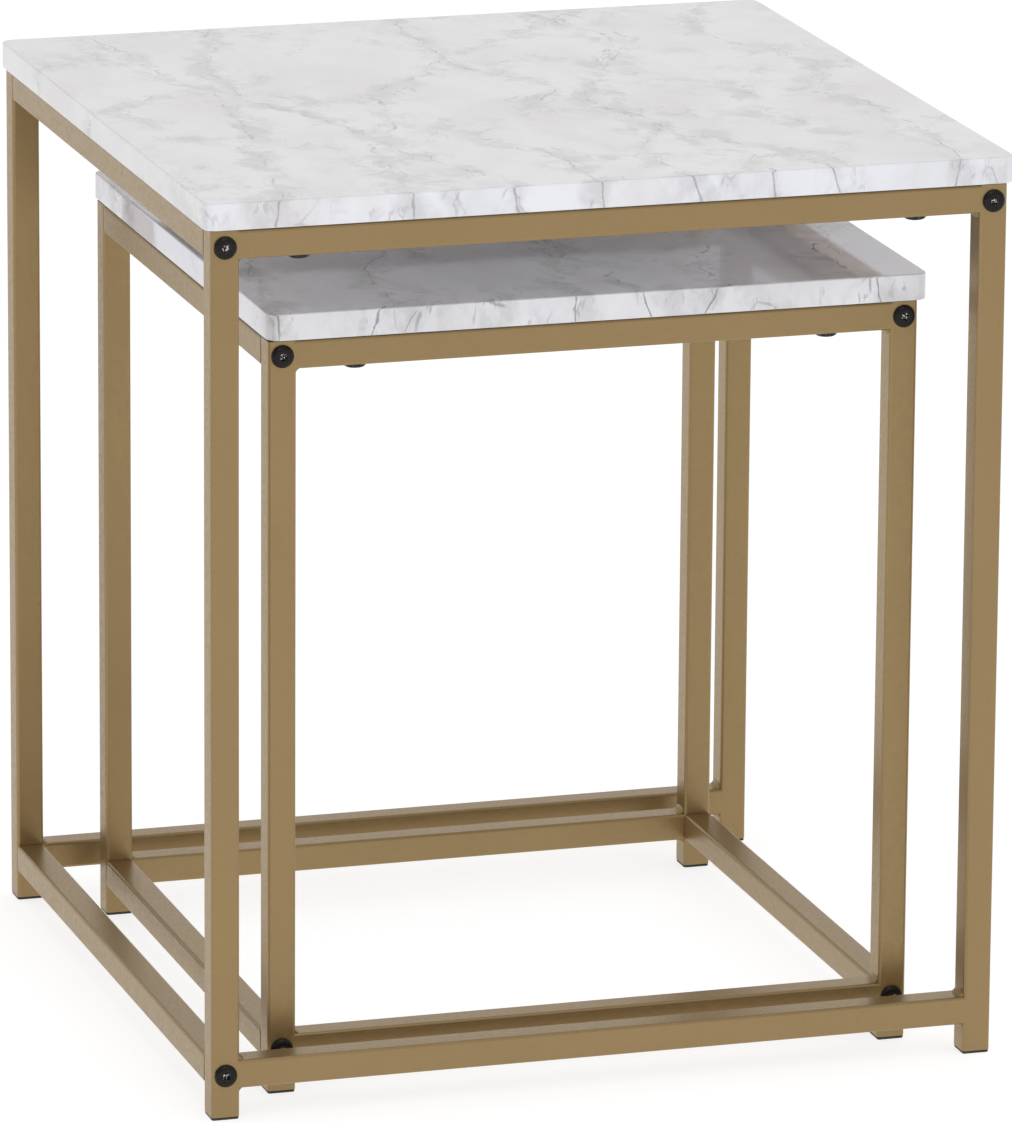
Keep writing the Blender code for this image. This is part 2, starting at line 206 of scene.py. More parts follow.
def square_layers(low, high, width, rim, steps):
    """Layers of a square tube's outside whose two ends have a softened rim."""
    ends = []
    for inset, advance in soft_rim(rim, steps):
        across = width - 2 * inset
        ends.append((advance, rounded_rectangle(across, across, TUBE_RADIUS - inset, TUBE_STEPS)))
    return ([(low + advance, outline) for advance, outline in ends]
            + [(high - advance, outline) for advance, outline in reversed(ends)])


def new_object(name, bm):
    bmesh.ops.recalc_face_normals(bm, faces=bm.faces)
    mesh = bpy.data.meshes.new(name)
    bm.to_mesh(mesh)
    bm.free()
    obj = bpy.data.objects.new(name, mesh)
    bpy.context.scene.collection.objects.link(obj)
    return obj


def combine(obj, operation, bm):
    """Join the solids in bm to the object, or cut them out of it, and keep the result."""
    tool = new_object(obj.name + "_tool", bm)
    modifier = obj.modifiers.new(operation, "BOOLEAN")
    modifier.solver = "EXACT"
    modifier.operation = operation
    modifier.object = tool
    bpy.context.view_layer.update()
    evaluated = obj.evaluated_get(bpy.context.evaluated_depsgraph_get())
    result = bpy.data.meshes.new_from_object(evaluated)
    obj.modifiers.clear()
    spent = obj.data
    obj.data = result
    bpy.data.meshes.remove(spent)
    bpy.data.objects.remove(tool, do_unlink=True)


def smooth(obj, sharp_degrees=38.0):
    """Smooth shading that stays flat on the large faces and crisp on the sharp edges."""
    obj.data.shade_smooth()
    obj.data.set_sharp_from_angle(angle=math.radians(sharp_degrees))
    weighted = obj.modifiers.new("flat faces lead", "WEIGHTED_NORMAL")
    weighted.keep_sharp = True
    weighted.weight = 80


def hand_in(obj, node, mat):
    """Give the piece its material and body, and let it stand for its CAD node."""
    obj.data.materials.clear()
    obj.data.materials.append(mat)
    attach(obj, table_of(node) + "_table")
    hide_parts(node)


# ---------------------------------------------------------------- material building blocks

class Shader:
    """A Principled material with short calls for the nodes that feed it."""

    def __init__(self, name):
        self.material = bpy.data.materials.new(name)
        self.material.use_nodes = True
        self.tree = self.material.node_tree
        self.bsdf = self.tree.nodes["Principled BSDF"]
        self.place = self.tree.nodes.new("ShaderNodeTexCoord").outputs["Object"]

    def set(self, **sockets):
        for name, value in sockets.items():
            label = name.replace("_", " ").title().replace("Ior", "IOR")
            self.bsdf.inputs[label].default_value = value

    def link(self, value, socket):
        """Feed a socket from another socket, or set it to a number or a vector."""
        if isinstance(value, bpy.types.NodeSocket):
            self.tree.links.new(value, socket)
        else:
            socket.default_value = value

    def math(self, operation, *values, clamp=False):
        node = self.tree.nodes.new("ShaderNodeMath")
        node.operation = operation
        node.use_clamp = clamp
        for value, socket in zip(values, node.inputs):
            self.link(value, socket)
        return node.outputs["Value"]

    def vector(self, operation, *values):
        node = self.tree.nodes.new("ShaderNodeVectorMath")
        node.operation = operation
        for value, socket in zip(values, node.inputs):
            self.link(value, socket)
        return node.outputs["Vector"]

    def scaled(self, vector, factors):
        return self.vector("MULTIPLY", vector, factors)

    def noise(self, place, scale, detail=2.0, rough=0.5, colour=False):
        node = self.tree.nodes.new("ShaderNodeTexNoise")
        self.link(place, node.inputs["Vector"])
        node.inputs["Scale"].default_value = scale
        node.inputs["Detail"].default_value = detail
        node.inputs["Roughness"].default_value = rough
        return node.outputs["Color" if colour else "Fac"]

    def remap(self, value, low, high, to_low=0.0, to_high=1.0, smooth_step=True):
        node = self.tree.nodes.new("ShaderNodeMapRange")
        node.interpolation_type = "SMOOTHSTEP" if smooth_step else "LINEAR"
        for socket, number in zip(node.inputs, (value, low, high, to_low, to_high)):
            self.link(number, socket)
        return node.outputs["Result"]

    def mix(self, share, first, second):
        node = self.tree.nodes.new("ShaderNodeMix")
        node.data_type = "RGBA"
        self.link(share, node.inputs[0])
        self.link(first, node.inputs[6])
        self.link(second, node.inputs[7])
        return node.outputs[2]

    def bump(self, height, distance, strength=1.0, below=None):
        node = self.tree.nodes.new("ShaderNodeBump")
        node.inputs["Strength"].default_value = strength
        node.inputs["Distance"].default_value = distance
        self.link(height, node.inputs["Height"])
        if below is not None:
            self.link(below, node.inputs["Normal"])
        return node.outputs["Normal"]

    def finish(self, colour, rough, normal):
        self.link(colour, self.bsdf.inputs["Base Color"])
        self.link(rough, self.bsdf.inputs["Roughness"])
        self.link(normal, self.bsdf.inputs["Normal"])
        return self.material


# ---------------------------------------------------------------- marble-effect laminate

LARGE_PAPER = (0.812, 0.811, 0.814, 1.0)
# painted shade: the small board's ground is bluer, for the cool shade it lies in under the large
# top
SMALL_PAPER_SHADE_TINT = (0.835, 0.830, 0.908, 1.0)
STRIP_PAINTED_LIGHT = (0.896, 0.902, 0.952, 1.0)  # painted cool light: the front and back edge strips are lighter and bluer than the top
CLOUD = (0.625, 0.625, 0.640, 1.0)
WARM = (0.745, 0.694, 0.680, 1.0)
VEIN = (0.47, 0.465, 0.485, 1.0)
BLOTCH = (0.35, 0.345, 0.365, 1.0)

# Shares of those colours where the pattern is strongest
CLOUD_SHARE = 0.42
MOTTLE_SHARE = 0.62
TINT_SHARE = 0.62
GREY_SHARE = 0.29
FIBRE_SHARE = 0.42
CORE_SHARE = 0.58

# Warps of the print, drifting, wandering, wavering and jagged, as (noise scale, reach, detail)
WARPS = ((9.0, 16 * MM, 1.0), (26.0, 13 * MM, 2.0), (75.0, 5 * MM, 3.0), (330.0, 1.4 * MM, 2.0))
STRIP_CALM = 0.72          # how much less the print is warped on the edge strips
STRIP_CLEAR = 0.38         # how much less it is mottled there
CELL_SCALE = 11.0

# Main veins, each as (back to front, left to right) places in shares of half the board
LARGE_VEINS = [
    [(1.05, -0.80), (0.70, -0.74), (0.42, -0.70), (0.20, -0.66), (-0.05, -0.69), (-0.45, -0.74),
     (-1.07, -0.84)],
    [(1.05, 0.34), (0.80, 0.42), (0.55, 0.46), (0.28, 0.34), (0.0, 0.24), (-0.25, 0.25),
     (-0.45, 0.32), (-0.66, 0.40), (-1.07, 0.58)],
    [(1.05, 0.34), (0.55, 0.46), (0.0, 0.24), (-0.45, 0.30), (-0.60, 0.30), (-0.85, 0.36),
     (-1.07, 0.40)],
    [(1.05, 0.40), (0.55, 0.50), (0.0, 0.24), (-0.45, 0.28), (-0.70, 0.14), (-0.85, 0.16),
     (-1.07, 0.22)],
    [(1.05, 0.02), (0.62, 0.02), (0.35, 0.03), (0.12, 0.14), (-0.10, 0.10), (-0.35, -0.14),
     (-0.50, -0.18), (-0.66, -0.09), (-1.07, -0.03)],
    [(1.05, 0.96), (0.62, 0.72), (0.42, 0.80), (0.10, 0.90), (-0.20, 0.80), (-0.45, 0.88),
     (-1.07, 0.84)],
    [(0.30, -0.12), (0.20, -0.20), (0.0, -0.30), (-0.25, -0.34), (-0.45, -0.44), (-0.70, -0.47),
     (-1.07, -0.50)],
    [(1.05, -0.42), (0.55, -0.58), (0.10, -0.57), (-0.12, -0.50), (-0.35, -0.42), (-0.60, -0.36),
     (-1.07, -0.24)],
]
SMALL_VEINS = [
    [(1.05, -0.55), (0.3, -0.62), (-0.2, -0.80), (-0.6, -0.93), (-1.08, -0.97)],
    [(1.05, -0.10), (0.4, -0.25), (-0.1, -0.35), (-0.5, -0.55), (-0.8, -0.62), (-1.08, -0.70)],
    [(1.05, 0.30), (0.3, 0.20), (-0.2, 0.10), (-0.45, 0.02), (-0.65, 0.16), (-0.85, 0.10),
     (-1.08, 0.16)],
    [(1.05, 0.30), (0.3, 0.20), (-0.2, 0.10), (-0.45, 0.06), (-0.70, -0.04), (-1.08, -0.08)],
    [(1.05, 0.75), (0.5, 0.66), (0.0, 0.52), (-0.4, 0.50), (-0.8, 0.42), (-1.08, 0.30)],
    [(1.05, 0.95), (0.4, 0.86), (-0.2, 0.92), (-0.6, 0.78), (-1.08, 0.86)],
]
VEIN_REACH = 1.08          # the veins run this many half boards from the middle


def vein_distance(shader, route, across, along):
    """How far a place lies from a vein, in half boards, with the route as a curve node."""
    node = shader.tree.nodes.new("ShaderNodeFloatCurve")
    curve = node.mapping.curves[0]
    places = sorted(((y / VEIN_REACH + 1) / 2, (x / VEIN_REACH + 1) / 2) for y, x in route)
    curve.points[0].location = places[0]
    curve.points[1].location = places[-1]
    for place in places[1:-1]:
        curve.points.new(*place)
    node.mapping.update()
    share = shader.math("MULTIPLY_ADD", along, 0.5 / VEIN_REACH, 0.5)
    shader.link(share, node.inputs["Value"])
    middle = shader.math("MULTIPLY_ADD", node.outputs["Value"], 2 * VEIN_REACH, -VEIN_REACH)
    return shader.math("ABSOLUTE", shader.math("SUBTRACT", across, middle))


def unfolded(shader, board, shift):
    """The board's surface as one flat sheet, how upright it is, and how far it faces front or back.

    Below the top face the print runs on outwards.
    """
    tree = shader.tree
    local = shader.vector("SUBTRACT", shader.place, (board.middle.x, board.middle.y, board.high.z))
    parts = tree.nodes.new("ShaderNodeSeparateXYZ")
    shader.link(local, parts.inputs[0])
    facing = tree.nodes.new("ShaderNodeSeparateXYZ")
    shader.link(tree.nodes.new("ShaderNodeNewGeometry").outputs["Normal"], facing.inputs[0])
    flat = tree.nodes.new("ShaderNodeCombineXYZ")
    for axis in ("X", "Y"):
        drop = shader.math("MULTIPLY", parts.outputs["Z"], facing.outputs[axis])
        shader.link(shader.math("SUBTRACT", parts.outputs[axis], drop), flat.inputs[axis])
    shader.link(shift, flat.inputs["Z"])
    upright = shader.math("SUBTRACT", 1.0, shader.math("ABSOLUTE", facing.outputs["Z"]), clamp=True)
    return flat.outputs[0], upright, shader.math("ABSOLUTE", facing.outputs["Y"])


def marble_laminate(name, board, routes, paper, depth, shift):
    """Glossy printed foil that wraps from the board's top down over its edges.

    The veins' depth of grey is given by depth, and shift picks the board's place in the pattern.
    """
    shader = Shader(name)
    half = board.size.x / 2
    tree = shader.tree
    sheet, upright, front_or_back = unfolded(shader, board, shift)

    # Warp it at four scales, but less on the edge strips.
    calm = shader.math("MULTIPLY_ADD", upright, -STRIP_CALM, 1.0)
    warped = sheet
    for scale, reach, detail in WARPS:
        push = shader.noise(sheet, scale, detail, 0.6, colour=True)
        push = shader.vector("SUBTRACT", push, (0.5, 0.5, 0.5))
        push = shader.scaled(push, (2 * reach, 2 * reach, 0.0))
        warped = shader.vector("MULTIPLY_ADD", push, calm, warped)
    ends = tree.nodes.new("ShaderNodeSeparateXYZ")
    shader.link(warped, ends.inputs[0])
    across = shader.math("DIVIDE", ends.outputs["X"], half)
    along = shader.math("DIVIDE", ends.outputs["Y"], half)
    near = None
    for route in routes:
        gap = vein_distance(shader, route, across, along)
        near = gap if near is None else shader.math("MINIMUM", near, gap)
    near = shader.math("MULTIPLY", near, half)

    # Cross links between the main veins: the walls of large warped cells.
    cells = tree.nodes.new("ShaderNodeTexVoronoi")
    cells.feature = "DISTANCE_TO_EDGE"
    cells.inputs["Scale"].default_value = CELL_SCALE
    shader.link(shader.scaled(warped, (1.0, 0.72, 1.0)), cells.inputs["Vector"])
    link_gap = shader.math("DIVIDE", cells.outputs["Distance"], CELL_SCALE)
    patchy = shader.remap(shader.noise(sheet, 12.0, 2.0), 0.36, 0.58)

    # Bands of mottled grey follow both, strong in places and fading out to the sides.
    strength = shader.remap(shader.noise(sheet, 21.0, 2.0), 0.36, 0.58, 0.36, 1.0)
    reach = shader.remap(shader.noise(sheet, 31.0, 1.0), 0.35, 0.65, 9 * MM, 30 * MM)
    band = shader.remap(shader.math("DIVIDE", near, reach), 1.0, 0.0)
    side_band = shader.math("MULTIPLY", shader.remap(link_gap, 16 * MM, 0.0), patchy)
    band = shader.math("MAXIMUM", band, shader.math("MULTIPLY", side_band, 0.9))
    band = shader.math("MULTIPLY", band, strength)
    mottle = shader.noise(shader.scaled(warped, (1.0, 0.6, 1.0)), 60.0, 6.0, 0.64)
    threshold = shader.math("MULTIPLY_ADD", band, -0.17, 0.59)
    grey = shader.math("MULTIPLY", shader.math("SQRT", band),
                       shader.remap(shader.math("SUBTRACT", mottle, threshold), -0.09, 0.17))
    grey = shader.math("MULTIPLY", grey, shader.math("MULTIPLY_ADD", upright, -STRIP_CLEAR, 1.0))

    # Dark strokes: the broken cores of the veins, and fibres that fray from them lengthwise.
    breaks = shader.noise(sheet, 38.0, 3.0)
    width = shader.remap(shader.noise(sheet, 110.0, 2.0), 0.35, 0.7, 0.3 * MM, 1.8 * MM)
    core = shader.remap(shader.math("DIVIDE", near, width), 1.0, 0.1)
    core = shader.math("MULTIPLY", core, shader.remap(breaks, 0.45, 0.58, 0.15, 1.0))
    strip_width = shader.remap(shader.noise(sheet, 150.0, 2.0), 0.35, 0.65, 0.35 * MM, 0.95 * MM)
    strip_core = shader.remap(shader.math("DIVIDE", near, strip_width), 1.0, 0.35)
    strip_core = shader.math("MULTIPLY", strip_core, shader.math("MULTIPLY", upright, 0.90))
    core = shader.math("MAXIMUM", core, strip_core)
    link_core = shader.math("MULTIPLY", shader.remap(link_gap, 0.7 * MM, 0.1 * MM), patchy)
    link_core = shader.math("MULTIPLY", link_core, shader.remap(breaks, 0.50, 0.60))
    core = shader.math("MAXIMUM", core, shader.math("MULTIPLY", link_core, 0.7))
    ridge = shader.noise(shader.scaled(warped, (1.0, 0.34, 1.0)), 88.0, 3.0, 0.55)
    ridge = shader.math("ABSOLUTE", shader.math("SUBTRACT", ridge, 0.5))
    fibre = shader.remap(ridge, 0.034, 0.003)
    fibre = shader.math("MULTIPLY", fibre, shader.remap(band, 0.10, 0.60))
    fibre = shader.math("MULTIPLY", fibre, shader.remap(shader.noise(sheet, 60.0, 3.0), 0.46, 0.60))

    # Pale clouds everywhere, in places a little warmer.
    cloud = shader.noise(shader.scaled(warped, (1.0, 0.6, 1.0)), 15.0, 6.0, 0.62)
    cloud = shader.remap(cloud, 0.38, 0.70)
    warm = shader.remap(shader.noise(sheet, 7.0, 2.0), 0.42, 0.60)
    # Painted cool light: the strips that face front or back take a lighter, bluer ground.
    colour = shader.mix(front_or_back, paper, STRIP_PAINTED_LIGHT)
    tint = shader.math("MULTIPLY", warm, shader.math("MAXIMUM", cloud, grey))
    for pattern, share, ink in ((cloud, CLOUD_SHARE, CLOUD), (grey, MOTTLE_SHARE, CLOUD),
                                (tint, TINT_SHARE, WARM), (grey, GREY_SHARE * depth, VEIN),
                                (fibre, FIBRE_SHARE * depth, VEIN),
                                (core, CORE_SHARE * depth, BLOTCH)):
        colour = shader.mix(shader.math("MULTIPLY", pattern, share), colour, ink)

    rough = shader.remap(shader.noise(sheet, 140.0, 3.0), 0.3, 0.7, 0.035, 0.065)
    ripple = shader.bump(shader.noise(sheet, 70.0, 2.0), 0.05 * MM, 0.25)
    normal = shader.bump(shader.noise(sheet, 1800.0, 2.0), 0.004 * MM, 0.4, ripple)
    shader.set(ior=1.5)
    return shader.finish(colour, rough, normal)


# ---------------------------------------------------------------- paint, bolts and plastic

GOLD = ((0.298, 0.204, 0.093, 1.0), (0.330, 0.229, 0.107, 1.0))
GOLD_FLAKE = (0.54, 0.41, 0.23, 1.0)
GOLD_PIT = (0.19, 0.127, 0.055, 1.0)
OXIDE = ((0.013, 0.011, 0.010, 1.0), (0.045, 0.039, 0.035, 1.0))
# colour of the painted glints on the bolts
GLINT_STEEL = (0.80, 0.77, 0.73, 1.0)
PLASTIC = ((0.016, 0.016, 0.017, 1.0), (0.030, 0.029, 0.029, 1.0))
ZINC = ((0.46, 0.46, 0.43, 1.0), (0.62, 0.61, 0.55, 1.0))
GLINT_ATTRIBUTE = "painted_glint"  # mesh attribute: 1 where a bright glint is painted on a bolt, in its socket, countersink and rim


def gold_paint():
    """Satin gold powder coat: fine metallic flake under a slightly rippled surface."""
    shader = Shader("gold powder coat")
    base = shader.mix(shader.noise(shader.place, 14.0, 3.0), *GOLD)
    flake = shader.remap(shader.noise(shader.place, 5200.0, 1.0), 0.62, 0.80)
    colour = shader.mix(shader.math("MULTIPLY", flake, 0.45), base, GOLD_FLAKE)
    dark = shader.remap(shader.noise(shader.place, 2600.0, 2.0), 0.40, 0.25)
    colour = shader.mix(shader.math("MULTIPLY", dark, 0.35), colour, GOLD_PIT)
    rough = shader.remap(shader.noise(shader.place, 420.0, 3.0), 0.3, 0.7, 0.30, 0.40)
    peel = shader.bump(shader.noise(shader.place, 760.0, 2.0), 0.035 * MM, 0.5)
    normal = shader.bump(shader.noise(shader.place, 4200.0, 1.0), 0.010 * MM, 0.5, peel)
    shader.set(metallic=0.75, ior=1.5)
    return shader.finish(colour, rough, normal)


def black_oxide():
    """Blackened steel of the bolts, with rubbed spots, and painted glints of bright steel in the
    socket and on the rim.
    """
    shader = Shader("black oxide steel")
    rubbed = shader.remap(shader.noise(shader.place, 900.0, 4.0, 0.6), 0.52, 0.72)
    colour = shader.mix(shader.math("MULTIPLY", rubbed, 0.5), *OXIDE)
    # Painted highlight: bright steel colour, broken into spots, on the faces the glint layer marks.
    glint_layer = shader.tree.nodes.new("ShaderNodeAttribute")
    glint_layer.attribute_name = GLINT_ATTRIBUTE
    glint_spots = shader.remap(shader.noise(shader.place, 1000.0, 2.0), 0.52, 0.60)
    glint = shader.math("MULTIPLY", glint_layer.outputs["Fac"], glint_spots)
    colour = shader.mix(glint, colour, GLINT_STEEL)
    rough = shader.remap(shader.noise(shader.place, 1500.0, 3.0), 0.3, 0.7, 0.20, 0.34)
    normal = shader.bump(shader.noise(shader.place, 2600.0, 3.0), 0.02 * MM, 0.5)
    shader.set(metallic=0.55, ior=1.5, specular_ior_level=0.35)
    return shader.finish(colour, rough, normal)


def black_plastic():
    """Moulded plastic of the foot plugs, finely grained."""
    shader = Shader("moulded black plastic")
    colour = shader.mix(shader.noise(shader.place, 700.0, 3.0), *PLASTIC)
    rough = shader.remap(shader.noise(shader.place, 1200.0, 2.0), 0.3, 0.7, 0.45, 0.62)
    normal = shader.bump(shader.noise(shader.place, 3000.0, 2.0), 0.03 * MM, 0.6)
    return shader.finish(colour, rough, normal)


def zinc_plate():
    """Zinc plating of the inserts, pale with a mottled sheen."""
    shader = Shader("zinc plate")
    colour = shader.mix(shader.noise(shader.place, 800.0, 4.0), *ZINC)
    rough = shader.remap(shader.noise(shader.place, 1400.0, 3.0), 0.3, 0.7, 0.24, 0.40)
    normal = shader.bump(shader.noise(shader.place, 2500.0, 2.0), 0.01 * MM, 0.5)
    shader.set(metallic=1.0)
    return shader.finish(colour, rough, normal)


# ---------------------------------------------------------------- tops

def make_board(node, mat):
    """Board with softly rounded edges and the stepped holes of its four inserts."""
    span = Span(node)

    def outline(inset):
        return rounded_rectangle(span.size.x - 2 * inset, span.size.y - 2 * inset,
                                 BOARD_RADIUS - inset, BOARD_CORNER_STEPS)

    lower = [(span.low.z + advance, outline(inset))
             for inset, advance in soft_rim(BOARD_LOWER_EDGE, BOARD_EDGE_STEPS)]
    upper = [(span.high.z - advance, outline(inset))
             for inset, advance in reversed(soft_rim(BOARD_EDGE, BOARD_EDGE_STEPS))]
    bm = bmesh.new()
    add_layers(bm, lower + upper, "z", span.middle)
    board = new_object(node + "_board", bm)

    bm = bmesh.new()
    for insert in nodes_with(table_of(node), "insert"):
        sleeve = Span(insert)
        flange = circle(sleeve.size.x + INSERT_ROOM + INSERT_FLANGE_ROOM, HOLE_STEPS)
        body = circle(sleeve.size.x - INSERT_STEP + INSERT_ROOM, HOLE_STEPS)
        shoulder = span.low.z + INSERT_SHOULDER
        add_layers(bm, [(span.low.z - INSERT_CUT, flange), (shoulder, flange),
                        (shoulder, body), (sleeve.high.z + INSERT_END_ROOM, body)],
                   "z", sleeve.middle)
    combine(board, "DIFFERENCE", bm)
    smooth(board)
    hand_in(board, node, mat)


# ---------------------------------------------------------------- frames and rails

def rail_heights(table):
    """Lowest and highest Z of the end frames' top and bottom rails."""
    frame_top = Span(table + "_front_frame").high.z
    bottom = Span(nodes_with(table, "side_rail_bottom")[0])
    return {"top": (frame_top - bottom.size.z, frame_top), "bottom": (bottom.low.z, bottom.high.z)}


def make_frame(node, mat):
    """Welded end frame: hollow legs and rails with their bolt holes and drain hole."""
    table = table_of(node)
    span = Span(node)
    tube = span.size.y
    heights = rail_heights(table)
    outside = rounded_rectangle(tube, tube, TUBE_RADIUS, TUBE_STEPS)
    inside = rounded_rectangle(tube - 2 * WALL, tube - 2 * WALL, TUBE_RADIUS - WALL, 3)
    legs = [Vector((x, span.middle.y, 0)) for x in (span.low.x + tube / 2, span.high.x - tube / 2)]
    inner = (span.low.x + tube, span.high.x - tube)

    bm = bmesh.new()
    for leg in legs:
        add_layers(bm, square_layers(span.low.z, span.high.z, tube, LEG_ROUND, 2), "z", leg)
    obj = new_object(node + "_tubes", bm)

    bm = bmesh.new()
    middles = [Vector((0, span.middle.y, sum(limits) / 2)) for limits in heights.values()]
    for middle in middles:
        add_bar(bm, outside, "x", inner[0] - RAIL_SINK, inner[1] + RAIL_SINK, middle)
    combine(obj, "UNION", bm)

    bm = bmesh.new()
    for leg in legs:
        add_bar(bm, inside, "z", span.low.z - tube, span.high.z + tube, leg)
    for middle in middles:
        add_bar(bm, inside, "x", inner[0], inner[1], middle)
    combine(obj, "DIFFERENCE", bm)

    bm = bmesh.new()
    end = "front" if "front" in node else "back"
    hole = circle(BOLT_HOLE, HOLE_STEPS)
    for bolt in nodes_with(table, "frame_bolt", end):
        add_bar(bm, hole, "y", span.low.y - tube, span.high.y + tube, Span(bolt).middle)
    for bolt in nodes_with(table, "top_bolt", end):
        add_bar(bm, hole, "z", span.high.z - 2 * tube, span.high.z + tube, Span(bolt).middle)
    underside = heights["bottom"][0]
    drain = Vector((inner[0] + DRAIN_INSET, span.middle.y, 0))
    add_bar(bm, circle(DRAIN_HOLE, HOLE_STEPS), "z",
            underside - DRAIN_REACH, underside + DRAIN_REACH, drain)
    combine(obj, "DIFFERENCE", bm)
    smooth(obj)
    hand_in(obj, node, mat)
    make_welds(node, span, inner, heights, mat)


def make_welds(node, span, inner, heights, mat):
    """Rippled fillets of weld in the inner corners, under the paint."""
    flat = span.size.y / 2 - TUBE_RADIUS
    corners = []
    for x, sign_x in ((inner[0], 1), (inner[1], -1)):
        corners += [(x, sign_x, heights["top"][0], -1), (x, sign_x, heights["bottom"][1], 1),
                    (x, sign_x, heights["bottom"][0], -1)]
    bm = bmesh.new()
    for x, sign_x, z, sign_z in corners:
        layers = []
        root_z, root_x = z - sign_z * WELD_SINK, x - sign_x * WELD_SINK
        for row in range(WELD_ROWS + 1):
            share = row / WELD_ROWS
            taper = math.sin(math.pi * (share * 0.94 + 0.03)) ** WELD_TAPER
            ripple = WELD_RIPPLE_DEPTH * math.cos(2 * math.pi * WELD_RIPPLES * share)
            reach = WELD_LEG * taper
            outline = [(root_z, root_x), (root_z, x + sign_x * reach)]
            for step in range(WELD_STEPS + 1):
                angle = math.radians(90 * step / WELD_STEPS)
                hollow = 1 + (ripple / reach - WELD_HOLLOW) * math.sin(2 * angle)
                outline.append((z + sign_z * reach * math.sin(angle) * hollow,
                                x + sign_x * reach * math.cos(angle) * hollow))
            outline.append((z + sign_z * reach, root_x))
            layers.append((span.middle.y - flat + 2 * flat * share, outline))
        add_layers(bm, layers, "y", Vector((0, 0, 0)))
    welds = new_object(node + "_welds", bm)
    smooth(welds, 60.0)
    welds.data.materials.append(mat)
    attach(welds, table_of(node) + "_table")


def make_side_rail(node, mat):
    """Loose rail: a hollow tube with softened rims and a drilled plate in each end."""
    span = Span(node)
    tube = span.size.x
    bm = bmesh.new()
    add_layers(bm, square_layers(span.low.y, span.high.y, tube, RAIL_ROUND, 4), "y", span.middle)
    rail = new_object(node + "_tube", bm)
    bm = bmesh.new()
    inside = rounded_rectangle(tube - 2 * WALL, tube - 2 * WALL, TUBE_RADIUS - WALL, 3)
    add_bar(bm, inside, "y", span.low.y + RAIL_PLATE, span.high.y - RAIL_PLATE, span.middle)
    combine(rail, "DIFFERENCE", bm)
    bm = bmesh.new()
    hole = circle(BOLT_HOLE, HOLE_STEPS)
    for end in (span.low.y, span.high.y):
        add_bar(bm, hole, "y", end - tube / 2, end + tube / 2, span.middle)
    combine(rail, "DIFFERENCE", bm)
    smooth(rail)
    hand_in(rail, node, mat)


# ---------------------------------------------------------------- bolts, inserts and feet

def glint_share(from_axis, depth, facing_up):
    """How strong the painted glint is on a bolt's face, at a depth under the top of its head."""
    if from_axis < SOCKET_WIDTH / 2 and 1.0 * MM < depth < 2.0 * MM and facing_up > 0.5:
        return 1.0    # floor of the socket
    if from_axis < 3.0 * MM and depth < 0.6 * MM and 0.2 < facing_up < 0.9:
        return 0.12   # countersink
    if from_axis > HEAD_RADIUS - 0.2 * MM:
        return 0.08   # rim
    return 0.0


def bolt_mesh(length):
    """M6 bolt along Z: its head's underside at the origin, its shank downwards."""
    profile = [(SHANK_RADIUS - SHANK_CHAMFER, -length), (SHANK_RADIUS, -length + SHANK_CHAMFER),
               (SHANK_RADIUS, -NECK), (SHANK_RADIUS + NECK, 0.0), (HEAD_RADIUS - 0.25 * MM, 0.0),
               (HEAD_RADIUS, 0.2 * MM), (HEAD_RADIUS, HEAD_RIM)]
    for step in range(1, HEAD_STEPS + 1):
        angle = math.radians(90 * step / HEAD_STEPS)
        profile.append((HEAD_FLAT + (HEAD_RADIUS - HEAD_FLAT) * math.cos(angle) ** 0.9,
                        HEAD_RIM + (HEAD_HEIGHT - HEAD_RIM) * math.sin(angle)))
    layers = [(height, circle(2 * radius, BOLT_STEPS)) for radius, height in profile]
    axis = Vector((0, 0, 0))
    bm = bmesh.new()
    add_layers(bm, layers, "z", axis)
    bolt = new_object("bolt", bm)
    bm = bmesh.new()
    across_corners = SOCKET_WIDTH / math.cos(math.radians(30))
    add_bar(bm, circle(across_corners, 6), "z", HEAD_HEIGHT - SOCKET_DEPTH, 2 * HEAD_HEIGHT, axis)
    combine(bolt, "DIFFERENCE", bm)
    bm = bmesh.new()
    mouth = SOCKET_WIDTH + 4 * SOCKET_LEAD
    add_layers(bm, [(HEAD_HEIGHT - SOCKET_LEAD, circle(SOCKET_WIDTH, BOLT_STEPS)),
                    (HEAD_HEIGHT + SOCKET_LEAD, circle(mouth, BOLT_STEPS))], "z", axis)
    combine(bolt, "DIFFERENCE", bm)
    mesh = bolt.data
    # Share of painted glint on each face of the head.
    glint_layer = mesh.attributes.new(GLINT_ATTRIBUTE, "FLOAT", "FACE")
    for face, share in zip(mesh.polygons, glint_layer.data):
        share.value = glint_share(face.center.xy.length, HEAD_HEIGHT - face.center.z, face.normal.z)
    mesh.shade_smooth()
    mesh.set_sharp_from_angle(angle=math.radians(32))
    bpy.data.objects.remove(bolt, do_unlink=True)
    return mesh


def make_bolt(node, mesh, mat):
    """Turn the bolt the way its CAD solid points, with the head where that one has it."""
    span = Span(node)
    seat = span.middle.copy()
    if "top_bolt" in node:
        tilt = 180
        seat.z = span.low.z + HEAD_HEIGHT
    elif "front" in node:
        tilt = 90
        seat.y = span.low.y + HEAD_HEIGHT
    else:
        tilt = -90
        seat.y = span.high.y - HEAD_HEIGHT
    bolt = bpy.data.objects.new(node + "_steel", mesh.copy())
    bpy.context.scene.collection.objects.link(bolt)
    spin = (sum(map(ord, node)) * 37) % 60  # each bolt's socket stops at an angle of its own
    turn = Matrix.Rotation(math.radians(tilt), 4, "X") @ Matrix.Rotation(math.radians(spin), 4, "Z")
    bolt.data.transform(Matrix.Translation(seat) @ turn)
    hand_in(bolt, node, mat)


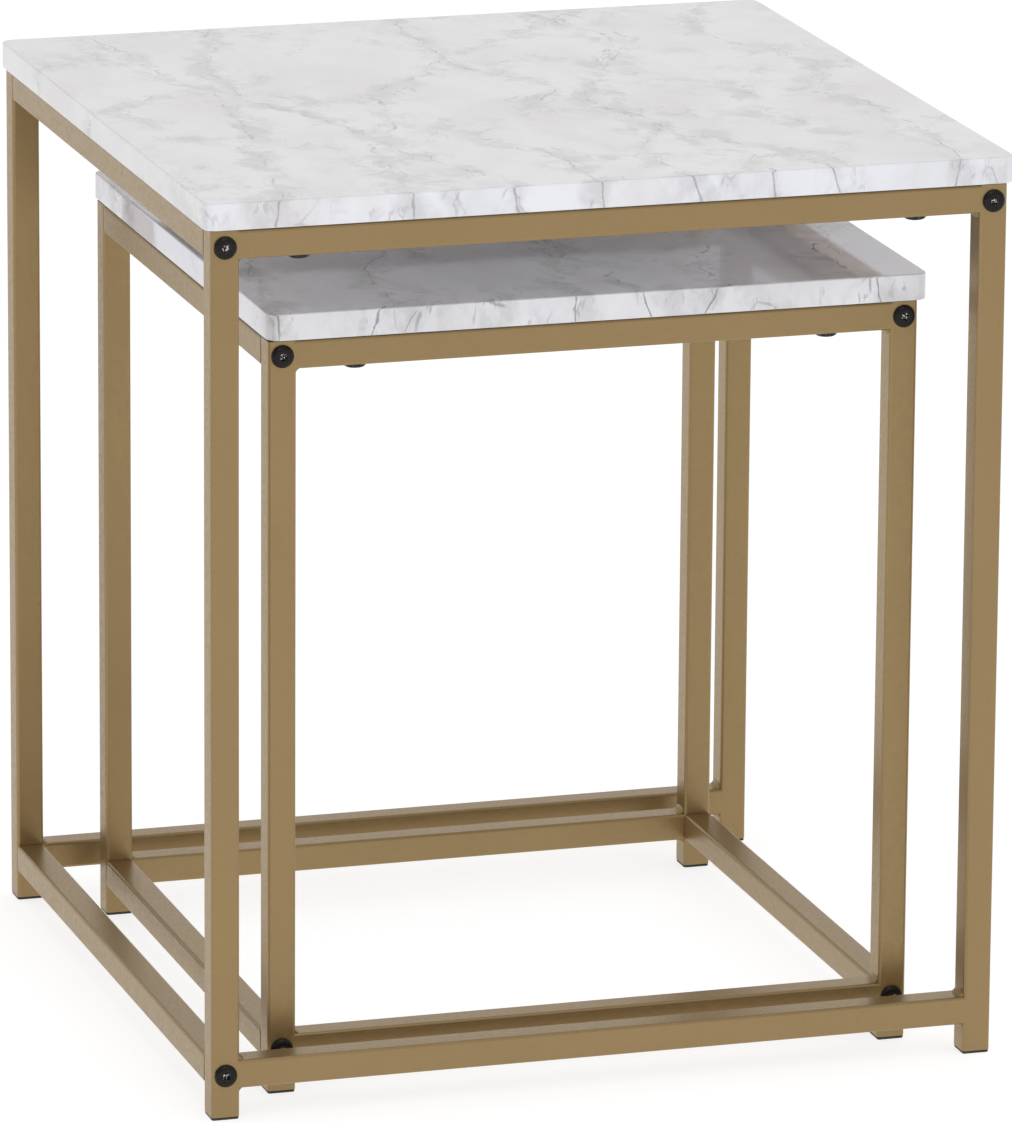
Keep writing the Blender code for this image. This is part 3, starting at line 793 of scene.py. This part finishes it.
def make_foot(node, mat):
    """Plug with a softly edged flange and a hollow stem with two grip ribs."""
    span = Span(node)
    layers = []
    for inset, advance in soft_rim(FOOT_EDGE, 5):
        across = span.size.x - 2 * inset
        layers.append((advance, rounded_rectangle(across, across, FOOT_RADIUS - inset, 6)))
    layers.append((FOOT_FLANGE, layers[-1][1]))
    for low, high, width in FOOT_STEM:
        outline = rounded_rectangle(width, width, STEM_RADIUS, 6)
        layers += [(low, outline), (high, outline)]
    bm = bmesh.new()
    add_layers(bm, layers, "z", span.middle)
    foot = new_object(node + "_plug", bm)
    bm = bmesh.new()
    bore = rounded_rectangle(STEM_BORE, STEM_BORE, STEM_RADIUS, 4)
    add_bar(bm, bore, "z", FOOT_FLANGE, STEM_CUT, span.middle)
    combine(foot, "DIFFERENCE", bm)
    smooth(foot)
    hand_in(foot, node, mat)


def dress_insert(node, mat):
    """The insert's CAD solid is right as it is, and only takes its plating."""
    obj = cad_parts[node]
    for held in obj.material_slots:
        held.material = mat
    if not obj.material_slots:
        obj.data.materials.append(mat)


# ---------------------------------------------------------------- stage, light and camera

def make_floor():
    """Pale studio floor that glows a little, as a lit light table does, so shadows stay faint."""
    bm = bmesh.new()
    bm.faces.new([bm.verts.new((FLOOR_REACH * x, FLOOR_REACH * y, 0))
                  for x, y in ((-1, -1), (1, -1), (1, 1), (-1, 1))])
    floor = new_object("floor", bm)
    shader = Shader("pale floor")
    grain = shader.remap(shader.noise(shader.place, 3.0, 2.0), 0.3, 0.7, 0.82, 0.88)
    shader.link(grain, shader.bsdf.inputs["Roughness"])
    shader.set(base_color=(FLOOR_GREY, FLOOR_GREY, FLOOR_GREY, 1.0),
               emission_color=(1.0, 1.0, 1.0, 1.0), emission_strength=FLOOR_GLOW,
               specular_ior_level=0.2)
    floor.data.materials.append(shader.material)


def soft_box(name, place, diameter, power):
    """Round soft light that looks at the middle of the nest."""
    data = bpy.data.lights.new(name, "AREA")
    data.shape = "DISK"
    data.size = diameter
    data.energy = power
    lamp = bpy.data.objects.new(name, data)
    bpy.context.scene.collection.objects.link(lamp)
    lamp.location = place
    lamp.rotation_euler = (CAMERA_TARGET - Vector(place)).to_track_quat("-Z", "Y").to_euler()
    lamp.visible_camera = False


def make_sky():
    """White room: even light all round, with a brighter backdrop low down behind the tables."""
    world = bpy.data.worlds.new("studio")
    world.use_nodes = True
    tree = world.node_tree
    towards = tree.nodes.new("ShaderNodeSeparateXYZ")
    tree.links.new(tree.nodes.new("ShaderNodeTexCoord").outputs["Generated"], towards.inputs[0])

    def calculate(operation, *values):
        node = tree.nodes.new("ShaderNodeMath")
        node.operation = operation
        for value, socket in zip(values, node.inputs):
            if isinstance(value, bpy.types.NodeSocket):
                tree.links.new(value, socket)
            else:
                socket.default_value = value
        return node.outputs["Value"]

    behind = calculate("MAXIMUM", towards.outputs["Y"], 0.0)
    level = calculate("SUBTRACT", 1.0, calculate("ABSOLUTE", towards.outputs["Z"]))
    low = calculate("POWER", level, 2.0)
    backdrop = calculate("MULTIPLY", calculate("MULTIPLY", behind, low), BACKDROP_STRENGTH)
    sides = calculate("MULTIPLY_ADD", towards.outputs["X"], SIDE_STRENGTH, SKY_STRENGTH)
    sky = tree.nodes["Background"]
    sky.inputs["Color"].default_value = (1.0, 1.0, 1.0, 1.0)
    tree.links.new(calculate("ADD", sides, backdrop), sky.inputs["Strength"])
    bpy.context.scene.world = world


def make_light():
    make_sky()
    bpy.context.scene.view_settings.view_transform = "Standard"
    for name, place, diameter, power in SOFT_BOXES:
        soft_box(name, place, diameter, power)


def make_camera():
    azimuth, elevation = math.radians(CAMERA_AZIMUTH), math.radians(CAMERA_ELEVATION)
    level = math.cos(elevation)
    back = Vector((math.sin(azimuth) * level, -math.cos(azimuth) * level, math.sin(elevation)))
    right = Vector((math.cos(azimuth), math.sin(azimuth), 0.0))
    up = back.cross(right)
    roll = math.radians(CAMERA_ROLL)
    right, up = (right * math.cos(roll) + up * math.sin(roll),
                 up * math.cos(roll) - right * math.sin(roll))
    data = bpy.data.cameras.new("camera")
    data.lens = CAMERA_LENS
    data.sensor_width = CAMERA_SENSOR
    data.clip_end = 100.0
    camera = bpy.data.objects.new("camera", data)
    bpy.context.scene.collection.objects.link(camera)
    camera.matrix_world = Matrix.Translation(CAMERA_TARGET + back * CAMERA_DISTANCE) @ Matrix(
        (right, up, back)).transposed().to_4x4()
    bpy.context.scene.camera = camera


# ---------------------------------------------------------------- everything together

def main():
    make_camera()
    make_light()
    make_floor()
    paint, steel, plastic, zinc = gold_paint(), black_oxide(), black_plastic(), zinc_plate()
    for table, routes, paper, depth, shift in (("large", LARGE_VEINS, LARGE_PAPER, 1.3, 0.0),
                                               ("small", SMALL_VEINS, SMALL_PAPER_SHADE_TINT, 1.85, 0.37)):
        top = table + "_top"
        make_board(top, marble_laminate(table + " marble laminate", Span(top), routes, paper,
                                        depth, shift))
        for end in ENDS:
            make_frame(f"{table}_{end}_frame", paint)
        for rail in nodes_with(table, "side_rail"):
            make_side_rail(rail, paint)
        for foot in nodes_with(table, "foot"):
            make_foot(foot, plastic)
        for insert in nodes_with(table, "insert"):
            dress_insert(insert, zinc)
    for kind in ("frame_bolt", "top_bolt"):
        bolts = nodes_with(kind)
        longest = max(Span(bolts[0]).size)
        mesh = bolt_mesh(longest - HEAD_HEIGHT)
        for bolt in bolts:
            make_bolt(bolt, mesh, steel)
        bpy.data.meshes.remove(mesh)


main()
